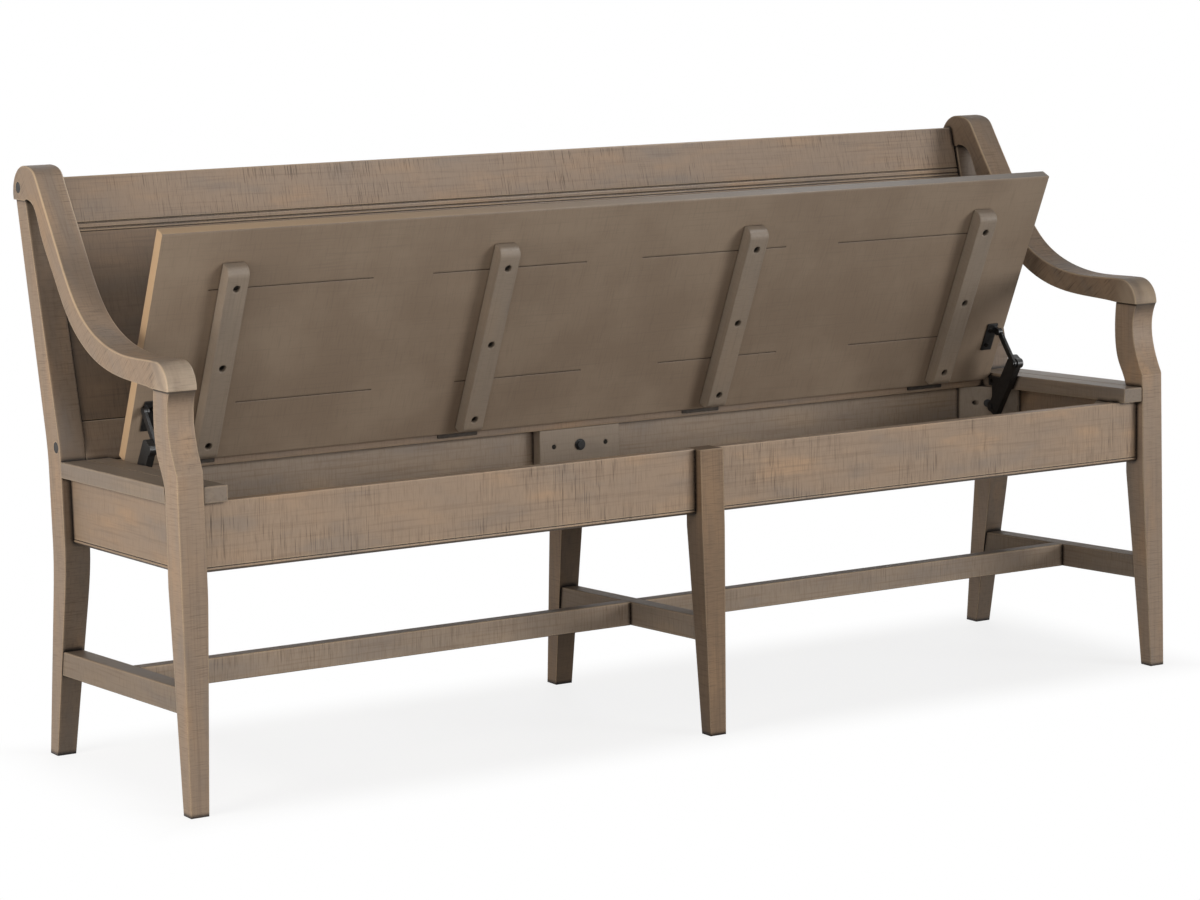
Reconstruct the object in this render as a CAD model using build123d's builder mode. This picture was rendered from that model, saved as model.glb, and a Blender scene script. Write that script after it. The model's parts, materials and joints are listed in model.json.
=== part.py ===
from build123d import *
import os
from math import cos, radians, sin, sqrt, tan

os.makedirs("parts", exist_ok=True)

# Millimetres. Depths run back from the front feet, heights up from the floor, and left is the -X end.

# Overall
post_span = 1904            # over the outer faces of the corner posts
deck_height = 473.5         # top edge of the front aprons, on which the seat lies
seat_pitch = 1.48           # degrees by which the seat falls towards the back
arm_height = 686            # top of the arms over the front posts
crest_height = 953          # top of the arms over the back posts
fit = 0.2                   # between pieces that are joined and stand still
play = 0.4                  # between pieces that move past each other
soft = 2                    # rounding of the sanded edges

# Front posts and centre legs
post_width = 44             # along the bench, above the taper
post_depth = 42
foot_width = 30
front_rake = 12             # lean of the front face between floor and crease
front_foot_depth = 26
taper_top = 345             # the legs are full size above this height
crease_rise = 46            # crease above the deck, where the arm support starts
post_bow = 33               # how far the arm support bows back
bow_depth = 48
bow_flare = 4.5             # of the post's back at the top of the seat ends
nose_seat = 55              # flat on which the arm's nose rests
nose_drop = 42              # from the arm's top to that flat

# Back posts and centre back leg
back_front = 439            # front face of the back posts under the seat
back_post_depth = 49
back_foot_width = 32
back_foot_depth = 30
back_foot_kick = 60         # how far the rear feet stand behind the front face
back_lean = 14.6            # degrees
post_top_depth = 38
post_top_drop = 56          # from the crest's top to the post's top
centre_back_front = 443
centre_foot_kick = 44

# Arms
arm_width = 50
arm_thickness = 36
crest_radius = 46
slot_drop = 53              # from the crest's top to the top of the slot

# Aprons and the storage box
apron_face = 27
apron_thickness = 22
apron_height = 107
side_setback = 16           # side aprons behind the posts' outer faces
bead = 8                    # height of the moulding on the lower edge
floor_thickness = 6
floor_lift = 16             # underside of the floor above the aprons' lower edge
cleat = 14
block_height = 60
block_reach = 80            # leg of a corner block along each apron
block_end = 6               # square ends of a corner block
block_corner = 34           # corner of it left open for the post
tie_length = 160            # blocks that tie the aprons to the centre legs
tie_thickness = 22
tie_screw = 52              # screws of those blocks from the bench's centre
bolt_radius = 2.5
bolt_head = 7
washer_radius = 10          # under the heads of the tie bolts
washer = 1.5
bolt_length = 70
tie_bolt_length = 45
screw_radius = 2
screw_head = 4
screw_length = 28
screw_well = 4.3            # radius of the wells over the screw heads
batten_well = 6.3           # the same in the lid's battens
dowel_radius = 5
dowel_length = 44
dowel_rise = 14             # of that length in the arm
cap_radius = 9
cap_thickness = 3
cap_well = 12

# Stretchers
stretcher_height = 40
stretcher_thickness = 33
stretcher_inset = 2         # behind the posts' outer faces
centre_thickness = 30
long_thickness = 28
stretcher_top = 194         # at the front legs
stretcher_pitch = 2.3       # degrees
long_depth = 241            # front face of the long stretcher

# Seat and back boards
end_thickness = 25.5
strip_width = 39
strip_front = 13
seam = 0.6
rear_board_width = 51
board_thickness = 20
back_recess = 5             # back boards behind the faces of the back posts
rail_drop = 21              # top rail's upper edge below the crests
top_rail_height = 90
panel_rise = 9.6            # panel's lower edge above the start of the lean
groove = 2
bolt_inset = 16             # back rail bolts behind the front line of the posts

# Lid
lid_thickness = 21
lid_width = 422             # hinge axis to front edge
lid_gap = 2.5               # at each end
lid_rest = 0.5              # above the aprons when closed
lid_open = 63.9             # degrees from closed to the pose of the stays' stop
lid_corner = 10
hinge_depth = 414.5         # hinge axis behind the front feet
batten_inset = 131          # outer battens from the lid's ends
batten_width = 37
batten_thickness = 25
batten_clear = 1.5          # between the battens and the front aprons when the lid is closed
batten_reach = 409          # rear ends of the battens from the lid's front edge
batten_screw_pitch = 144
batten_first_screw = 92     # from the lid's front edge
kerf = 1.6
kerf_share = 0.82           # middles of the kerfs from the centre, as a share of the battens' places

# Hinges
knuckle_radius = 4
pin_radius = 2
running = 0.05
hinge_length = 76
leaf_thickness = 2
leaf_height = 16
hinge_gap = 1.2             # hinge axis to the wood on each side

# Lid stays
stay_along = 109            # lid pivot from the hinge axis, along the lid
stay_below = 9              # lid pivot below the lid's underside
stay_back = 41.5            # foot pivot in front of the hinge axis
stay_drop = 54.5            # foot pivot below the hinge axis
stay_angle = 58             # degrees of the arm's body in the open pose
stay_width = 27
stay_thickness = 12
link_thickness = 5
eye_radius = 6.5
pivot_radius = 3
plate = 2.5

# Derived
half_span = post_span / 2
inner_face = half_span - post_width
post_middle = half_span - post_width / 2
post_back = front_rake + post_depth
crease = deck_height + crease_rise
arm_joint = arm_height - nose_drop
bow_height = crease + 0.6 * (arm_joint - crease)
bow_back = post_back + post_bow
nose_back = bow_back - 3
nose_front = nose_back - nose_seat
slope = tan(radians(seat_pitch))
lean = tan(radians(back_lean))
stretcher_slope = tan(radians(stretcher_pitch))
post_top = crest_height - post_top_drop
lean_start = deck_height + 66
lean_depth = back_front + 12.5
post_top_front = lean_depth + (post_top - lean_start) * lean
crest_depth = post_top_front - 2
half_depth = (crest_depth + crest_radius) / 2
apron_back = apron_face + apron_thickness
side_outer = half_span - side_setback
side_inner = side_outer - apron_thickness
strip_inner = inner_face - strip_width - seam
lid_half = strip_inner - lid_gap
lid_angle = radians(seat_pitch + lid_open)
pitch_angle = radians(seat_pitch)
back_apron_front = centre_back_front
strip_back = back_front + 1
seat_rise = lid_rest + lid_thickness
batten_spacing = 2 * (lid_half - batten_inset) / 3
batten_start = lid_width - hinge_depth + apron_back + batten_clear
batten_length = batten_reach - batten_start
behind = 2 * half_depth + 100
overhead = crest_height + 200
axis_height = deck_height + seat_rise - (hinge_depth - apron_face) * slope
foot_pivot = (hinge_depth - stay_back, axis_height - stay_drop)
lid_below = lid_thickness + stay_below
lid_pivot = (
    hinge_depth - stay_along * cos(lid_angle) - lid_below * sin(lid_angle),
    axis_height + stay_along * sin(lid_angle) - lid_below * cos(lid_angle),
)
knee_pivot = (
    foot_pivot[0] + lid_pivot[0] - hinge_depth,
    foot_pivot[1] + lid_pivot[1] - axis_height,
)
plate_in = lid_half + play + 0.1
arm_out = plate_in - 2 * play
arm_in = arm_out - stay_thickness
link_out = arm_in - play
link_in = link_out - link_thickness
ear_out = link_in - play
ear_in = ear_out - 4
sides = {"left": -1, "right": 1}


def at(depth, height):
    return (depth - half_depth, height)


def deck(depth, rise=0):
    return at(depth, deck_height + rise - (depth - apron_face) * slope)


def stretcher(depth, rise=0):
    return at(depth, stretcher_top + rise - (depth - post_back) * stretcher_slope)


def back_face(height):
    # Depth of the back posts' front face beside the seat
    return back_front + 4.5 * (height - block_low) / (block_top - block_low)


def span(side, near, far):
    # Start and length of a run along X, given as distances from the bench's centre
    return (near, far - near) if side > 0 else (-far, far - near)


def keep(part, label):
    part.label = label
    export_step(part, f"parts/{label}.step")


# Side views of the posts, drawn as depth and height

block_top = deck_height + 16
block_low = taper_top + 10
back_deck = deck_height - (back_front - apron_face) * slope

with BuildSketch() as front_side:
    with BuildLine():
        Polyline(
            at(front_rake, crease), at(0, 0), at(front_foot_depth, 0),
            at(post_back, taper_top), at(post_back, deck_height + 4),
        )
        Spline(
            at(post_back, deck_height + 4),
            at(post_back + 0.73 * post_bow, crease + 0.3 * (bow_height - crease)),
            at(bow_back, bow_height), at(nose_back, arm_joint), tangents=[(0, 1), (-0.15, 1)],
        )
        Line(at(nose_back, arm_joint), at(nose_front, arm_joint))
        Spline(
            at(nose_front, arm_joint), at(bow_back - bow_depth, bow_height),
            at(front_rake + 19, crease + 0.54 * (bow_height - crease)), at(front_rake, crease),
        )
    make_face()

knee_low = taper_top - 105
foot_front = back_front + back_foot_kick
knee_front = foot_front - knee_low * 0.196
top_rear = post_top_front + post_top_depth
lean_rear = lean_depth + back_post_depth + 2
rear_lean = (top_rear - lean_rear) / (post_top - lean_start)

with BuildSketch() as back_side:
    with BuildLine():
        Line(at(foot_front + back_foot_depth, 0), at(foot_front, 0))
        Line(at(foot_front, 0), at(knee_front, knee_low))
        Spline(
            at(knee_front, knee_low), at(back_front, block_low),
            tangents=[(knee_front - foot_front, knee_low), (0.03, 1)],
        )
        Line(at(back_front, block_low), at(back_front + 4.5, block_top))
        Spline(
            at(back_front + 4.5, block_top), at(lean_depth, lean_start), tangents=[(0.03, 1), (lean, 1)],
        )
        Line(at(lean_depth, lean_start), at(post_top_front, post_top))
        Line(at(post_top_front, post_top), at(top_rear, post_top))
        Line(at(top_rear, post_top), at(lean_rear, lean_start))
        Spline(
            at(lean_rear, lean_start), at(back_front + 4.5 + back_post_depth, block_top - 20),
            tangents=[(-rear_lean, -1), (-0.03, -1)],
        )
        Line(
            at(back_front + 4.5 + back_post_depth, block_top - 20),
            at(back_front + back_post_depth, block_low),
        )
        Spline(
            at(back_front + back_post_depth, block_low), at(knee_front + 45, knee_low),
            at(foot_front + back_foot_depth, 0), tangents=[(-0.03, -1), (0.13, -1)],
        )
    make_face()

with BuildSketch() as arm_side:
    with BuildLine():
        rise = crest_height - arm_height
        crown = Spline(
            at(nose_front + nose_drop, arm_height), at(190, arm_height - 1),
            at(338, arm_height + 0.165 * rise), at(424, arm_height + 0.54 * rise),
            at(494, arm_height + 0.92 * rise), at(crest_depth, crest_height),
            tangents=[(1, 0), (1, 0)],
        )
        under = [
            crown @ share + Vector((crown % share).Y, -(crown % share).X) * arm_thickness
            for share in (0.17, 0.36, 0.52, 0.66, 0.79)
        ]
        Spline(
            at(nose_back, arm_joint), *under, at(post_top_front - 9, crest_height - slot_drop),
            tangents=[(1, 0.1), (1, 0)],
        )
        Line(at(post_top_front - 9, crest_height - slot_drop), at(post_top_front - 3, post_top + fit))
        crest_run = sqrt(crest_radius**2 - (post_top + fit - crest_height + crest_radius) ** 2)
        Line(at(post_top_front - 3, post_top + fit), at(crest_depth + crest_run, post_top + fit))
        ThreePointArc(
            at(crest_depth + crest_run, post_top + fit),
            at(crest_depth + crest_radius * 0.8, crest_height - crest_radius * 0.4),
            at(crest_depth, crest_height),
        )
        Line(at(nose_back, arm_joint), at(nose_front, arm_joint))
        TangentArc(at(nose_front + nose_drop, arm_height), at(nose_front, arm_joint), tangent=(-1, 0))
    make_face()


# Places shared by more than one piece

rear_bolt_height = deck_height + 36
rear_bolt_depth = lean_depth + (rear_bolt_height - lean_start) * lean + bolt_inset
crest_bolt_height = crest_height - 36
crest_bolt_depth = lean_depth + (crest_bolt_height - lean_start) * lean + bolt_inset
block_heights = {
    1: deck_height - (apron_back + block_reach - apron_face) * slope - fit,
    -1: deck_height - (back_apron_front - apron_face) * slope - fit,
}
block_faces = {1: apron_back, -1: back_apron_front}
block_aims = {
    1: (side_inner - inner_face - post_back + apron_back) / 2,
    -1: (side_inner - inner_face - back_apron_front + back_front + 2.6) / 2,
}
tie_height = block_heights[-1] - block_height / 2
wing = 60
well_seat = 12
batten_places = [(index - 1.5) * batten_spacing for index in range(4)]
hinge_places = batten_places
dowel_spots = (((nose_front + nose_back) / 2, arm_joint), ((post_top_front + top_rear) / 2, post_top))
bracket_screw_places = [
    (side * (ear_out - 14), shift - stay_along) for side in sides.values() for shift in (0, 30)
]
batten_screw_places = [
    (place, batten_first_screw + index * batten_screw_pitch - lid_width)
    for place in batten_places for index in range(3)
]
stay_head_low = deck(foot_pivot[0], 3)[1]
stay_head_high = deck(foot_pivot[0], 19)[1]
stay_screw_spots = [at(foot_pivot[0] + shift, (stay_head_low + stay_head_high) / 2) for shift in (-13, 13)]


def spot(x, depth, height, direction):
    return Plane(origin=(x, depth - half_depth, height), z_dir=direction)


def corner_axis(side, direction):
    # On a corner block's slanting face, in line with the post's inner corner, looking into the box
    aim = block_aims[direction] / 2
    middle = (block_reach + block_end) / 2
    return spot(
        side * (side_inner - middle - aim), block_faces[direction] + direction * (middle - aim),
        block_heights[direction] - block_height / 2, (-side, direction, 0),
    )


def corner_screws(side, direction):
    # Seats of the two screws of a corner block, each looking into its apron
    height = block_heights[direction] - block_height / 2
    face = block_faces[direction]
    return [
        spot(side * (side_inner - wing), face + direction * well_seat, height, (0, -direction, 0)),
        spot(side * (side_inner - well_seat), face + direction * wing, height, (side, 0, 0)),
    ]


def tie_spots(direction):
    # Front of the bolt and seats of the screws of a block behind a centre leg
    face = block_faces[direction] + direction * tie_thickness
    bolt = spot(0, face, tie_height, (0, -direction, 0))
    seat = face - direction * 4
    return bolt, [spot(x, seat, tie_height, (0, -direction, 0)) for x in (-tie_screw, tie_screw)]


def lid_plane(angle, rise=0):
    # On the lid's top with the origin on the hinge axis, Y towards the back of the lid
    return Plane(
        origin=(0, hinge_depth - half_depth, axis_height), x_dir=(1, 0, 0), z_dir=(0, sin(angle), cos(angle)),
    ).offset(rise)


def lid_side(x, angle):
    # Side view of the lid: X towards its back, Y up out of its top
    return Plane(
        origin=(x, hinge_depth - half_depth, axis_height), x_dir=(0, cos(angle), -sin(angle)), z_dir=(1, 0, 0),
    )


def board_side(x):
    # Side view of the back: X up along its front face, Y forwards
    tilt = radians(back_lean)
    return Plane(
        origin=(x, lean_depth - half_depth + back_recess * cos(tilt), lean_start - back_recess * sin(tilt)),
        x_dir=(0, sin(tilt), cos(tilt)), z_dir=(1, 0, 0),
    )


def cut_round(plane, radius, depth):
    with BuildSketch(plane) as disc:
        Circle(radius)
    extrude(disc.sketch, amount=depth, mode=Mode.SUBTRACT)


def add_round(plane, radius, depth):
    with BuildSketch(plane) as disc:
        Circle(radius)
    extrude(disc.sketch, amount=depth)


def corner_outline(side, foot):
    # Front view of a corner post: upright outside, tapered inside below the seat
    inside = side * inner_face
    Polyline(
        (side * half_span, 0), (side * half_span, crest_height), (inside, crest_height), (inside, taper_top),
        (side * (half_span - foot), 0), close=True,
    )


def apron_section(height):
    # Beaded board: X from its face into the wood, Y up from its top edge
    low = bead - height
    Line((0, 0), (0, low))
    Line((0, low), (1.5, low - 1))
    ThreePointArc((1.5, low - 1), (-1, low - bead * 0.4), (1.5, low - bead * 0.7))
    Polyline((1.5, low - bead * 0.7), (3, -height), (apron_thickness, -height), (apron_thickness, 0), (0, 0))


def stay_plate_head(grow):
    Polyline(
        at(foot_pivot[0] - 21 - grow, stay_head_low - grow),
        at(foot_pivot[0] + 21 + grow, stay_head_low - grow),
        at(foot_pivot[0] + 21 + grow, stay_head_high + grow),
        at(foot_pivot[0] - 21 - grow, stay_head_high + grow),
        close=True,
    )


with BuildSketch() as centre_back_side:
    with BuildLine():
        Polyline(
            at(centre_back_front, crease), at(centre_back_front, block_low),
            at(centre_back_front + centre_foot_kick, 0),
            at(centre_back_front + centre_foot_kick + back_foot_depth, 0),
            at(centre_back_front + post_width, taper_top), at(centre_back_front + post_width, crease),
            close=True,
        )
    make_face()

with BuildSketch() as above_deck:
    with BuildLine():
        Polyline(deck(-50, -fit), deck(behind, -fit), at(behind, overhead), at(-50, overhead), close=True)
    make_face()


# The pieces of each end

for name, side in sides.items():
    start, width = span(side, inner_face, half_span)

    with BuildPart() as front_post:
        with BuildSketch(Plane.YZ.offset(start)):
            add(front_side.sketch)
        extrude(amount=width)
        foot_edges = front_post.edges().filter_by(lambda e: e.length > 60 and min((e @ 0).Z, (e @ 1).Z) < soft)
        fillet(foot_edges.sort_by(Axis.Y)[:2], soft)
        with BuildSketch(Plane.XZ):
            with BuildLine():
                corner_outline(side, foot_width)
            make_face()
        extrude(amount=2 * half_depth, both=True, mode=Mode.INTERSECT)
        with BuildSketch(Plane.XY.offset(arm_joint)):
            with Locations((side * post_middle, (nose_front + nose_back) / 2 - half_depth)):
                Circle(dowel_radius + running)
        extrude(amount=dowel_rise - dowel_length - 1, mode=Mode.SUBTRACT)
        with BuildSketch(corner_axis(side, 1)):
            Circle(bolt_radius + running)
        extrude(amount=-bolt_length, mode=Mode.SUBTRACT)
    keep(front_post.part, f"front_post_{name}")

    with BuildPart() as back_post:
        with BuildSketch(Plane.YZ.offset(start)):
            add(back_side.sketch)
        extrude(amount=width)
        fillet(back_post.edges().filter_by(lambda e: e.length > 60), soft)
        with BuildSketch(Plane.XZ):
            with BuildLine():
                corner_outline(side, back_foot_width)
            make_face()
        extrude(amount=2 * half_depth, both=True, mode=Mode.INTERSECT)
        with BuildSketch(Plane.XY.offset(post_top)):
            with Locations((side * post_middle, (post_top_front + top_rear) / 2 - half_depth)):
                Circle(dowel_radius + running)
        extrude(amount=dowel_rise - dowel_length - 1, mode=Mode.SUBTRACT)
        with BuildSketch(Plane.YZ.offset(start)):
            with Locations(at(rear_bolt_depth, rear_bolt_height)):
                Circle(bolt_radius + fit)
        extrude(amount=width, mode=Mode.SUBTRACT)
        with BuildSketch(Plane.YZ.offset(side * half_span)):
            with Locations(at(rear_bolt_depth, rear_bolt_height)):
                Circle(cap_radius + fit)
        extrude(amount=-side * cap_well, mode=Mode.SUBTRACT)
        with BuildSketch(corner_axis(side, -1)):
            Circle(bolt_radius + running)
        extrude(amount=-bolt_length, mode=Mode.SUBTRACT)
    keep(back_post.part, f"back_post_{name}")

    start, width = span(side, post_middle - arm_width / 2, post_middle + arm_width / 2)
    with BuildPart() as arm:
        with BuildSketch(Plane.YZ.offset(start)):
            add(arm_side.sketch)
        extrude(amount=width)
        long_edges = arm.edges().filter_by(lambda e: e.length > 60)
        crown_edges = long_edges.filter_by(lambda e: min((e @ 0).Z, (e @ 1).Z) > arm_height - 2)
        fillet(crown_edges + arm.edges().filter_by(GeomType.CIRCLE), soft + 1)
        for depth, height in dowel_spots:
            with BuildSketch(Plane.XY.offset(height)):
                with Locations((side * post_middle, depth - half_depth)):
                    Circle(dowel_radius + running)
            extrude(amount=dowel_rise + 1, mode=Mode.SUBTRACT)
        with BuildSketch(Plane.YZ.offset(start)):
            with Locations(at(crest_bolt_depth, crest_bolt_height)):
                Circle(bolt_radius + fit)
        extrude(amount=width, mode=Mode.SUBTRACT)
        with BuildSketch(Plane.YZ.offset(side * (post_middle + arm_width / 2))):
            with Locations(at(crest_bolt_depth, crest_bolt_height)):
                Circle(cap_radius + fit)
        extrude(amount=-side * cap_well, mode=Mode.SUBTRACT)
    keep(arm.part, f"arm_{name}")

    # Side apron: beaded section run along the pitch of the seat, then cut to fit between the posts
    run = Plane(
        origin=(side * side_outer, -half_depth, deck_height + apron_face * slope),
        x_dir=(-side, 0, 0), z_dir=(0, side * cos(radians(seat_pitch)), -side * sin(radians(seat_pitch))),
    )
    with BuildPart() as side_apron:
        with BuildSketch(run):
            with BuildLine():
                apron_section(apron_height)
            make_face()
        extrude(amount=side * back_front * 1.1)
        with BuildSketch(Plane.YZ.offset(side * half_span)):
            add(front_side.sketch)
            add(back_side.sketch)
            offset(amount=fit)
            with BuildLine():
                Polyline(
                    at(-40, 0), at(post_back - 10, 0), at(post_back - 10, crest_height), at(-40, crest_height),
                    close=True,
                )
            make_face()
            with BuildLine():
                Polyline(
                    at(back_front + 20, 0), at(behind, 0), at(behind, crest_height),
                    at(back_front + 20, crest_height), close=True,
                )
            make_face()
        extrude(amount=-side * (post_width + apron_thickness), mode=Mode.SUBTRACT)
        for direction in (1, -1):
            cut_round(corner_screws(side, direction)[1], screw_radius + running, screw_length)
    keep(side_apron.part, f"side_apron_{name}")

    # Seat end: outer board between the posts, inner strip past them
    start, width = span(side, inner_face - seam / 2 + fit, half_span)
    with BuildPart() as end_board:
        with BuildSketch(Plane.YZ.offset(start)):
            with BuildLine():
                Polyline(
                    deck(post_back + fit, fit), deck(back_face(back_deck) - fit, fit),
                    deck(back_face(back_deck + end_thickness) - fit, end_thickness),
                    deck(post_back + bow_flare + fit, end_thickness), close=True,
                )
            make_face()
        extrude(amount=width)
        chamfer(end_board.edges().filter_by(lambda e: e.length > 300).sort_by(Axis.Z)[-2:], 1)
    keep(end_board.part, f"seat_end_board_{name}")

    start, width = span(side, strip_inner, inner_face - seam)
    with BuildPart() as strip:
        with BuildSketch(Plane.YZ.offset(start)):
            with BuildLine():
                Polyline(
                    deck(strip_front, fit), deck(strip_back, fit),
                    deck(strip_back, end_thickness), deck(strip_front, end_thickness), close=True,
                )
            make_face()
        extrude(amount=width)
        chamfer(strip.faces().sort_by(Axis.Z)[-1].edges(), 1)
        with BuildSketch(Plane.YZ.offset(side * strip_inner)):
            with BuildLine():
                stay_plate_head(fit)
            make_face()
            with Locations(at(foot_pivot[0], stay_head_low - 6)):
                Rectangle(22 + 2 * fit, 14)
        extrude(amount=side * (plate_in + plate + running - strip_inner), mode=Mode.SUBTRACT)
        with BuildSketch(Plane.YZ.offset(side * strip_inner)):
            with Locations(*stay_screw_spots):
                Circle(screw_radius + running)
        extrude(amount=side * screw_length, mode=Mode.SUBTRACT)
    keep(strip.part, f"seat_end_strip_{name}")

    # Front and back aprons, from the corner posts to the centre legs
    start, width = span(side, post_width / 2 + fit, inner_face - fit)
    with BuildPart() as front_apron:
        apron_end = (start, apron_face - half_depth, deck_height)
        with BuildSketch(Plane(origin=apron_end, x_dir=(0, 1, 0), z_dir=(1, 0, 0))):
            with BuildLine():
                apron_section(apron_height)
            make_face()
        extrude(amount=width)
        with BuildSketch(Plane.YZ.offset(start)):
            add(above_deck.sketch)
        extrude(amount=width, mode=Mode.SUBTRACT)
        cut_round(corner_screws(side, 1)[0], screw_radius + running, screw_length)
        tie = spot(side * tie_screw, apron_back, tie_height, (0, -1, 0))
        cut_round(tie, screw_radius + running, screw_length - 14)
    keep(front_apron.part, f"front_apron_{name}")

    with BuildPart() as back_apron:
        with BuildSketch(Plane.YZ.offset(start)):
            with BuildLine():
                Polyline(
                    deck(back_apron_front), deck(back_apron_front + apron_thickness),
                    deck(back_apron_front + apron_thickness, -apron_height),
                    deck(back_apron_front, -apron_height),
                    close=True,
                )
            make_face()
        extrude(amount=width)
        cut_round(corner_screws(side, -1)[0], screw_radius + running, screw_length)
        tie = spot(side * tie_screw, back_apron_front, tie_height, (0, 1, 0))
        cut_round(tie, screw_radius + running, screw_length - 14)
    keep(back_apron.part, f"back_apron_{name}")

    # End stretcher between the legs, and half of the long one
    start, width = span(side, half_span - stretcher_inset - stretcher_thickness, half_span - stretcher_inset)
    with BuildPart() as end_stretcher:
        with BuildSketch(Plane.YZ.offset(start)):
            with BuildLine():
                Polyline(
                    stretcher(0), stretcher(foot_front), stretcher(foot_front, -stretcher_height),
                    stretcher(0, -stretcher_height), close=True,
                )
            make_face()
            with BuildSketch(mode=Mode.SUBTRACT):
                add(front_side.sketch)
                add(back_side.sketch)
                offset(amount=fit)
                with BuildLine():
                    Polyline(at(-20, 0), at(20, 0), at(20, deck_height), at(-20, deck_height), close=True)
                make_face()
                with BuildLine():
                    Polyline(
                        at(foot_front - 10, 0), at(foot_front + 40, 0), at(foot_front + 40, deck_height),
                        at(foot_front - 10, deck_height), close=True,
                    )
                make_face()
        extrude(amount=width)
        chamfer(end_stretcher.edges().filter_by(lambda e: e.length > 300), 1)
    keep(end_stretcher.part, f"end_stretcher_{name}")

    end_face = half_span - stretcher_inset - stretcher_thickness
    start, width = span(side, centre_thickness / 2 + fit, end_face - fit)
    with BuildPart() as long_stretcher:
        with BuildSketch(Plane.YZ.offset(start)):
            with BuildLine():
                Polyline(
                    stretcher(long_depth), stretcher(long_depth + long_thickness),
                    stretcher(long_depth + long_thickness, -stretcher_height),
                    stretcher(long_depth, -stretcher_height),
                    close=True,
                )
            make_face()
        extrude(amount=width)
        chamfer(long_stretcher.edges().filter_by(Axis.X), 1)
    keep(long_stretcher.part, f"long_stretcher_{name}")

    # Corner blocks with a well over each screw
    for end, direction in (("front", 1), ("back", -1)):
        face = block_faces[direction] - half_depth
        top = block_heights[direction]
        with BuildPart() as block:
            with BuildSketch(Plane.XY.offset(top - block_height)):
                with BuildLine():
                    Polyline(
                        (side * (side_inner - block_corner), face + direction * fit),
                        (side * (side_inner - block_reach), face + direction * fit),
                        (side * (side_inner - block_reach), face + direction * block_end),
                        (side * (side_inner - block_end), face + direction * block_reach),
                        (side * (side_inner - fit), face + direction * block_reach),
                        (side * (side_inner - fit), face + direction * block_corner), close=True,
                    )
                make_face()
            extrude(amount=block_height)
            cut_round(corner_axis(side, direction).offset(20), bolt_radius + running, -bolt_length - 20)
            for seat in corner_screws(side, direction):
                cut_round(seat, screw_radius + running, screw_length)
                cut_round(seat, screw_well, -block_reach)
        keep(block.part, f"corner_block_{end}_{name}")

# Centre legs, tapered alike on both sides

for name, outline, foot in (("front", front_side, foot_width), ("back", centre_back_side, back_foot_width)):
    direction = 1 if name == "front" else -1
    with BuildPart() as leg:
        with BuildSketch(Plane.YZ.offset(-post_width / 2)):
            add(outline.sketch)
            add(above_deck.sketch, mode=Mode.SUBTRACT)
        extrude(amount=post_width)
        with BuildSketch(Plane.XZ):
            with BuildLine():
                Polyline(
                    (foot / 2, 0), (post_width / 2, taper_top), (post_width / 2, crest_height),
                    (-post_width / 2, crest_height), (-post_width / 2, taper_top), (-foot / 2, 0), close=True,
                )
            make_face()
        extrude(amount=2 * half_depth, both=True, mode=Mode.INTERSECT)
        cut_round(tie_spots(direction)[0], bolt_radius + running, tie_bolt_length)
    keep(leg.part, f"centre_{name}_leg")

# Blocks that tie the aprons to the centre legs

for name, direction in (("front", 1), ("back", -1)):
    face = block_faces[direction] - half_depth
    bolt_spot, screw_spots = tie_spots(direction)
    with BuildPart() as tie:
        with BuildSketch(Plane.XY.offset(tie_height - block_height / 2)):
            with Locations((0, face + direction * (tie_thickness + fit) / 2)):
                Rectangle(tie_length, tie_thickness - fit)
            if direction > 0:
                with Locations((0, face)):
                    Rectangle(post_width + 2 * fit, 2 * (post_back - apron_back + fit), mode=Mode.SUBTRACT)
        extrude(amount=block_height)
        cut_round(bolt_spot, bolt_radius + running, tie_bolt_length)
        for seat in screw_spots:
            cut_round(seat, screw_radius + running, screw_length)
            cut_round(seat, screw_well, -10)
    keep(tie.part, f"centre_{name}_block")

with BuildPart() as centre_stretcher:
    with BuildSketch(Plane.YZ.offset(-centre_thickness / 2)):
        with BuildLine():
            Polyline(
                stretcher(10), stretcher(foot_front), stretcher(foot_front, -stretcher_height),
                stretcher(10, -stretcher_height), close=True,
            )
        make_face()
        with BuildSketch(mode=Mode.SUBTRACT):
            add(front_side.sketch)
            add(centre_back_side.sketch)
            offset(amount=fit)
            with BuildLine():
                Polyline(at(-20, 0), at(20, 0), at(20, deck_height), at(-20, deck_height), close=True)
            make_face()
            with BuildLine():
                Polyline(
                    at(foot_front - 14, 0), at(foot_front + 40, 0), at(foot_front + 40, deck_height),
                    at(foot_front - 14, deck_height), close=True,
                )
            make_face()
    extrude(amount=centre_thickness)
    chamfer(centre_stretcher.edges().filter_by(lambda e: e.length > 300), 1)
keep(centre_stretcher.part, "centre_stretcher")

# Storage box floor on its cleats

floor_low = floor_lift - apron_height
with BuildPart() as floor:
    with BuildSketch(Plane.YZ.offset(fit - side_inner)):
        with BuildLine():
            Polyline(
                deck(apron_back + fit, floor_low), deck(back_apron_front - fit, floor_low),
                deck(back_apron_front - fit, floor_low + floor_thickness),
                deck(apron_back + fit, floor_low + floor_thickness),
                close=True,
            )
        make_face()
    extrude(amount=2 * (side_inner - fit))
    with BuildSketch(Plane.XY):
        for side in sides.values():
            with Locations((side * side_inner, apron_back - half_depth)):
                Rectangle(2 * (side_inner - inner_face + fit), 2 * (post_back - apron_back + fit))
            with Locations((side * side_inner, back_apron_front - half_depth)):
                Rectangle(2 * (side_inner - inner_face + fit), 2 * (back_apron_front - back_front + fit))
        with Locations((0, apron_back - half_depth)):
            Rectangle(post_width + 2 * fit, 2 * (post_back - apron_back + fit))
    extrude(amount=deck_height, mode=Mode.SUBTRACT)
keep(floor.part, "box_floor")

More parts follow.
